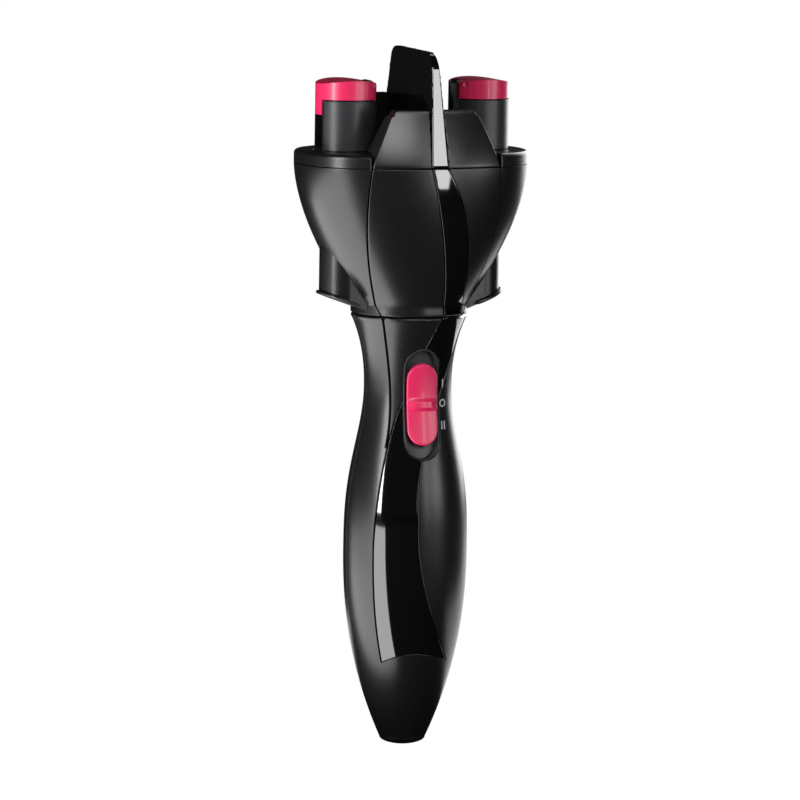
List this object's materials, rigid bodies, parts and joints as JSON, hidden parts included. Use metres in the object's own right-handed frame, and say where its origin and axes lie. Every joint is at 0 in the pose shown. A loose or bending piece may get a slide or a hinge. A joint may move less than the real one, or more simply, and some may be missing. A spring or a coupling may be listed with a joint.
{
  "type": "automatic hair braider",
  "caption": "Battery hand tool that twists strands of hair in spinning rotors and winds them together with its turning head.",
  "frame": {"origin": "on the main axis at the widest place of the handle, where the hand closes round it", "axes": "+Z along the handle towards the head, -Y towards the front with the switch, +X to the right seen from the front"},
  "size_m": [0.0776, 0.054, 0.2284],
  "materials": {
    "satin_black": "satin",
    "gloss_black": "high gloss",
    "dark_grey": "satin",
    "panel_grey": "fine satin",
    "pink": "semi gloss",
    "steel": "brushed",
    "spring_steel": "bright",
    "nylon": "matte",
    "cell_wrap": "printed wrap",
    "rubber": "matte"
  },
  "bodies": {
    "handle": {"handle_front_shell": "satin_black", "handle_rear_shell": "satin_black", "handle_inlay": "gloss_black", "battery_tray": "dark_grey", "cell_left": "cell_wrap", "cell_right": "cell_wrap", "contact_bridge": "spring_steel", "contact_left": "spring_steel", "contact_right": "spring_steel", "contact_springs": "spring_steel", "switch_recess": "dark_grey", "switch_contacts": "dark_grey", "motor": "steel", "gearbox": "steel", "motor_ring": "dark_grey", "neck_plate": "dark_grey", "neck_clutch": "steel", "screw_upper": "steel", "screw_lower": "steel"},
    "cover": {"battery_cover": "satin_black"},
    "slider": {"switch_slider": "pink", "switch_carrier": "nylon"},
    "head": {"head_collar": "dark_grey", "head_base": "satin_black", "shaft_clutch": "steel", "rotor_housing": "satin_black", "front_panel_left": "satin_black", "front_panel_right": "satin_black", "head_inlay": "gloss_black", "rear_panel": "satin_black", "wing_left": "satin_black", "wing_right": "satin_black", "gear_plate": "dark_grey", "bearing_plate": "dark_grey", "deck": "satin_black", "nose_front": "satin_black", "nose_rear": "satin_black", "fin": "gloss_black"},
    "drive": {"drive_shaft": "steel", "sun_gear": "nylon"},
    "rotor_left": {"rotor_left": "satin_black", "rotor_gear_left": "nylon", "tower_panel_front_left": "panel_grey", "tower_panel_rear_left": "panel_grey", "clip_pin_left": "steel", "clip_spring_left": "spring_steel"},
    "clip_left": {"clip_cap_left": "pink", "clip_pad_left": "rubber"},
    "rotor_right": {"rotor_right": "satin_black", "rotor_gear_right": "nylon", "tower_panel_front_right": "panel_grey", "tower_panel_rear_right": "panel_grey", "clip_pin_right": "steel", "clip_spring_right": "spring_steel"},
    "clip_right": {"clip_cap_right": "pink", "clip_pad_right": "rubber"}
  },
  "joints": [
    {"name": "head_turn", "type": "hinge", "parent": "handle", "child": "head", "pos_m": [0, 0, 0.0776], "axis": [0, 0, 1], "continuous": true},
    {"name": "shaft_spin", "type": "hinge", "parent": "head", "child": "drive", "pos_m": [0, 0, 0.1174], "axis": [0, 0, 1], "continuous": true},
    {"name": "rotor_left_spin", "type": "hinge", "parent": "head", "child": "rotor_left", "pos_m": [-0.023, 0, 0.1174], "axis": [0, 0, 1], "continuous": true},
    {"name": "rotor_right_spin", "type": "hinge", "parent": "head", "child": "rotor_right", "pos_m": [0.023, 0, 0.1174], "axis": [0, 0, 1], "continuous": true},
    {"name": "clip_left_open", "type": "hinge", "parent": "rotor_left", "child": "clip_left", "pos_m": [-0.01563, 0, 0.1518], "axis": [0, 1, 0], "range_deg": [0, 75], "stiffness_Nm_per_rad": 0.008, "springref_deg": -28.65},
    {"name": "clip_right_open", "type": "hinge", "parent": "rotor_right", "child": "clip_right", "pos_m": [0.01563, 0, 0.1518], "axis": [0, -1, 0], "range_deg": [0, 75], "stiffness_Nm_per_rad": 0.008, "springref_deg": -28.65},
    {"name": "switch_slide", "type": "slide", "parent": "handle", "child": "slider", "axis": [0, 0, 1], "range_m": [-0.0037, 0.0037]},
    {"name": "cover_off", "type": "slide", "parent": "handle", "child": "cover", "axis": [0, 1, 0], "range_m": [0, 0.012]}
  ],
  "couplings": [
    {"joint": "rotor_left_spin", "follows": "shaft_spin", "ratio": -1.5556},
    {"joint": "rotor_right_spin", "follows": "shaft_spin", "ratio": -1.5556}
  ]
}
